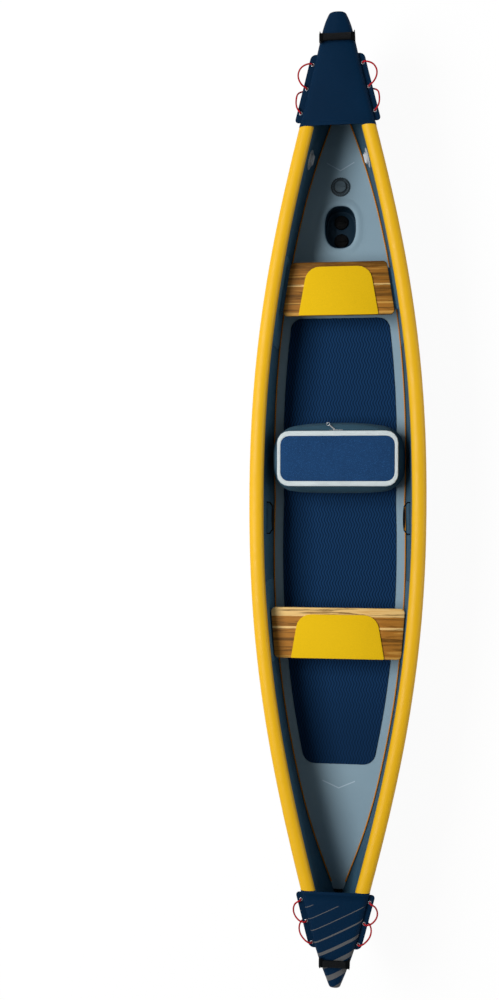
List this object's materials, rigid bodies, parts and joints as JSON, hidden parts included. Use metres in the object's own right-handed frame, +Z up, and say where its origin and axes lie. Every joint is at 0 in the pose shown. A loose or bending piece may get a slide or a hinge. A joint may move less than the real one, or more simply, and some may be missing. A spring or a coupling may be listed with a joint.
{
  "type": "inflatable canoe",
  "caption": "Inflatable canoe with upright drop-stitch sides, a drop-stitch floor, pointed capped ends, lift-out bench seats, a central bag seat, valves, drains and slide-in fins.",
  "frame": {"origin": "centre of the bounding box in plan, at the height of the fins' tips", "axes": "+Y along the keel to the stern, +X to port, +Z up"},
  "size_m": [0.88, 4.7799, 0.6731],
  "materials": {
    "gunwale_yellow": "smooth coated fabric",
    "cap_navy": "smooth coated fabric",
    "wall_blue": "coated fabric with a woven grain",
    "bottom_blue": "coated fabric with a woven grain",
    "floor_grey": "coated fabric with a woven grain",
    "deck_pad_navy": "matt grooved foam",
    "piping_orange": "satin",
    "seat_wood": "satin varnish over planks",
    "seat_pad_yellow": "matt foam",
    "bag_panel_blue": "flecked woven fabric",
    "bag_body_blue": "woven fabric",
    "binding_grey": "ribbed woven tape",
    "webbing_black": "ribbed webbing",
    "trim_black": "satin",
    "cord_red": "braided cord",
    "valve_grey": "satin moulded plastic",
    "plastic_black": "satin moulded plastic",
    "recess_navy": "satin moulded plastic",
    "zip_metal": "satin metal"
  },
  "bodies": {
    "hull": {"bow_end_cap": "cap_navy", "bow_fin_box": "plastic_black", "bow_port_cord_flap": "cap_navy", "bow_port_grab_cord": "cord_red", "bow_port_seat_support": "wall_blue", "bow_starboard_cord_flap": "cap_navy", "bow_starboard_grab_cord": "cord_red", "bow_starboard_seat_support": "wall_blue", "bow_stem_guard": "trim_black", "deck_pad": "deck_pad_navy", "drain_plate": "recess_navy", "floor_chamber": "floor_grey", "floor_valve_body": "valve_grey", "hull_bottom_skin": "bottom_blue", "port_floor_piping": "piping_orange", "port_gunwale_trim": "gunwale_yellow", "port_side_chamber": "wall_blue", "port_valve_body": "valve_grey", "starboard_floor_piping": "piping_orange", "starboard_gunwale_trim": "gunwale_yellow", "starboard_side_chamber": "wall_blue", "starboard_valve_body": "valve_grey", "stern_end_cap": "cap_navy", "stern_fin_box": "plastic_black", "stern_port_cord_flap": "cap_navy", "stern_port_grab_cord": "cord_red", "stern_port_seat_support": "wall_blue", "stern_starboard_cord_flap": "cap_navy", "stern_starboard_grab_cord": "cord_red", "stern_starboard_seat_support": "wall_blue", "stern_stem_guard": "trim_black"},
    "stern_handle": {"stern_handle_webbing": "webbing_black", "stern_handle_grip": "webbing_black"},
    "bow_handle": {"bow_handle_webbing": "webbing_black", "bow_handle_grip": "webbing_black"},
    "port_wall_handle": {"port_side_handle": "webbing_black"},
    "starboard_wall_handle": {"starboard_side_handle": "webbing_black"},
    "stern_seat": {"stern_seat_board": "seat_wood", "stern_seat_pad": "seat_pad_yellow"},
    "bow_seat": {"bow_seat_board": "seat_wood", "bow_seat_pad": "seat_pad_yellow"},
    "bag": {"bag_seat_body": "bag_body_blue"},
    "bag_top": {"bag_seat_lid": "bag_panel_blue", "bag_seat_binding": "binding_grey"},
    "zip_slider": {"bag_zip_slider": "zip_metal"},
    "floor_cap": {"floor_valve_cap": "valve_grey"},
    "port_cap": {"port_valve_cap": "valve_grey"},
    "starboard_cap": {"starboard_valve_cap": "valve_grey"},
    "floor_plunger": {"floor_valve_plunger": "plastic_black"},
    "port_plunger": {"port_valve_plunger": "plastic_black"},
    "starboard_plunger": {"starboard_valve_plunger": "plastic_black"},
    "bow_drain_plug": {"drain_plug_bow": "plastic_black"},
    "stern_drain_plug": {"drain_plug_stern": "plastic_black"},
    "stern_blade": {"stern_fin": "plastic_black"},
    "bow_blade": {"bow_fin": "plastic_black"}
  },
  "joints": [
    {"name": "stern_handle_rock", "type": "hinge", "parent": "hull", "child": "stern_handle", "pos_m": [0, 2.27425, 0.62805], "axis": [-1, 0, 0], "range_deg": [0, 45]},
    {"name": "bow_handle_rock", "type": "hinge", "parent": "hull", "child": "bow_handle", "pos_m": [0, -2.259, 0.62805], "axis": [1, 0, 0], "range_deg": [0, 45]},
    {"name": "port_wall_handle_swing", "type": "hinge", "parent": "hull", "child": "port_wall_handle", "pos_m": [0.35182, -0.085, 0.428], "axis": [0, 1, 0], "range_deg": [-75, 75]},
    {"name": "starboard_wall_handle_swing", "type": "hinge", "parent": "hull", "child": "starboard_wall_handle", "pos_m": [-0.35182, -0.085, 0.428], "axis": [0, -1, 0], "range_deg": [-75, 75]},
    {"name": "stern_seat_lift", "type": "slide", "parent": "hull", "child": "stern_seat", "axis": [0, 0, 1], "range_m": [0, 0.25]},
    {"name": "bow_seat_lift", "type": "slide", "parent": "hull", "child": "bow_seat", "axis": [0, 0, 1], "range_m": [0, 0.25]},
    {"name": "bag_lift", "type": "slide", "parent": "hull", "child": "bag", "axis": [0, 0, 1], "range_m": [0, 0.3]},
    {"name": "bag_lid_hinge", "type": "hinge", "parent": "bag", "child": "bag_top", "pos_m": [0, 0.075, 0.5089], "axis": [1, 0, 0], "range_deg": [0, 105]},
    {"name": "zip_slide", "type": "slide", "parent": "bag", "child": "zip_slider", "axis": [1, 0, 0], "range_m": [-0.19, 0.2]},
    {"name": "floor_cap_hinge", "type": "hinge", "parent": "hull", "child": "floor_cap", "pos_m": [0, 1.662, 0.2686], "axis": [-1, 0, 0], "range_deg": [0, 88]},
    {"name": "floor_plunger_press", "type": "slide", "parent": "hull", "child": "floor_plunger", "axis": [0, 0, -1], "range_m": [0, 0.006], "stiffness_N_per_m": 400, "springref_m": -0.004},
    {"name": "port_cap_hinge", "type": "hinge", "parent": "hull", "child": "port_cap", "pos_m": [0.14245, 1.72912, 0.39809], "axis": [0.248, -0.9688, 0], "range_deg": [0, 88]},
    {"name": "port_plunger_press", "type": "slide", "parent": "hull", "child": "port_plunger", "axis": [0.9683, 0.2479, -0.0294], "range_m": [0, 0.006], "stiffness_N_per_m": 400, "springref_m": -0.004},
    {"name": "starboard_cap_hinge", "type": "hinge", "parent": "hull", "child": "starboard_cap", "pos_m": [-0.14245, 1.72912, 0.39809], "axis": [0.248, 0.9688, 0], "range_deg": [0, 88]},
    {"name": "starboard_plunger_press", "type": "slide", "parent": "hull", "child": "starboard_plunger", "axis": [-0.9683, 0.2479, -0.0294], "range_m": [0, 0.006], "stiffness_N_per_m": 400, "springref_m": -0.004},
    {"name": "bow_plug_pull", "type": "slide", "parent": "hull", "child": "bow_drain_plug", "axis": [0, 0, 1], "range_m": [0, 0.06]},
    {"name": "stern_plug_pull", "type": "slide", "parent": "hull", "child": "stern_drain_plug", "axis": [0, 0, 1], "range_m": [0, 0.06]},
    {"name": "stern_fin_slide", "type": "slide", "parent": "hull", "child": "stern_blade", "axis": [0, 1, 0], "range_m": [0, 0.17]},
    {"name": "bow_fin_slide", "type": "slide", "parent": "hull", "child": "bow_blade", "axis": [0, 1, 0], "range_m": [0, 0.17]}
  ]
}
